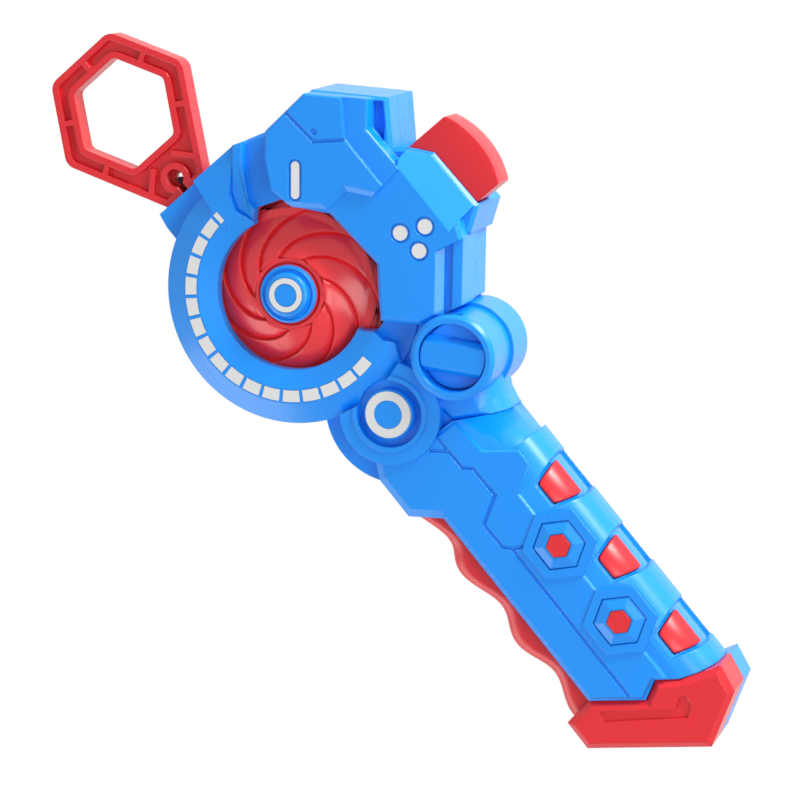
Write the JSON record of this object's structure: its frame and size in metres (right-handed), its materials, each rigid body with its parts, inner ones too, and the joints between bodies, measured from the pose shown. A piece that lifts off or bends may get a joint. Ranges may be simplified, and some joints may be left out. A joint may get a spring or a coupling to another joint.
{
  "type": "spinning top launcher",
  "caption": "Hand-held pistol-grip launcher for spinning tops: pull-cord reel with a spring return, one-way drive, toothed drive socket, turbine dial and release button.",
  "frame": {"origin": "on the spindle axis, in the plane of the flat back, at the mouth of the drive socket", "axes": "+Z out of the dial's face along the spindle, +Y along the way the cord is pulled (the handle points to -Y), +X towards the release button"},
  "size_m": [0.0836, 0.2077, 0.0265],
  "materials": {
    "shell_blue": "satin",
    "trim_red": "satin",
    "mark_white": "matte",
    "inner_grey": "matte",
    "inner_white": "matte",
    "steel": "satin",
    "brass": "satin",
    "cord": "matte"
  },
  "bodies": {
    "housing": {"front_shell": "shell_blue", "upper_cover": "shell_blue", "back_shell": "shell_blue", "dial_marks": "mark_white", "slot_mark": "mark_white", "dot_marks": "mark_white", "boss_stud": "shell_blue", "boss_ring": "mark_white", "cord_guide": "brass", "handle_front": "shell_blue", "handle_back": "shell_blue", "finger_grip": "trim_red", "spine_inserts": "trim_red", "hex_badges": "shell_blue", "hex_studs": "trim_red", "butt_cap_front": "trim_red", "butt_cap_back": "shell_blue", "shell_screws": "steel", "plate_screws": "steel", "bearing_plate": "inner_grey", "front_bush": "brass", "rear_bush": "brass", "spring_cup": "inner_grey", "return_spring": "steel", "button_spring": "steel", "pull_cord": "cord"},
    "reel": {"cord_reel": "inner_white", "cord_winding": "cord", "ratchet_pawls": "steel"},
    "drive_rotor": {"drive_socket": "inner_white", "ratchet_wheel": "steel", "spindle": "steel", "turbine_disc": "trim_red", "hub_cap": "shell_blue", "hub_ring": "mark_white"},
    "pull_handle": {"pull_ring": "trim_red", "cord_knot": "cord"},
    "release": {"release_button": "trim_red", "release_slider": "inner_grey"},
    "selector": {"selector_knob": "shell_blue", "selector_cam": "inner_white"}
  },
  "joints": [
    {"name": "reel_spin", "type": "hinge", "parent": "housing", "child": "reel", "pos_m": [0, 0, 0.0106], "axis": [0, 0, -1], "range_deg": [0, 2292], "stiffness_Nm_per_rad": 0.0004, "deforming": ["return_spring"]},
    {"name": "cord_pull", "type": "slide", "parent": "housing", "child": "pull_handle", "axis": [0, 1, 0], "range_m": [0, 0.3], "deforming": ["pull_cord"]},
    {"name": "rotor_spin", "type": "hinge", "parent": "housing", "child": "drive_rotor", "pos_m": [0, 0, 0.0106], "axis": [0, 0, -1], "continuous": true},
    {"name": "release_press", "type": "slide", "parent": "housing", "child": "release", "axis": [-1, 0, 0], "range_m": [0, 0.003], "stiffness_N_per_m": 400, "springref_m": -0.002, "deforming": ["button_spring"]},
    {"name": "selector_turn", "type": "hinge", "parent": "housing", "child": "selector", "pos_m": [0.0215, -0.0341, 0.02], "axis": [0, 0, 1], "range_deg": [0, 90]}
  ],
  "couplings": [
    {"joint": "reel_spin", "follows": "cord_pull", "rad_per_m": 133.33}
  ]
}
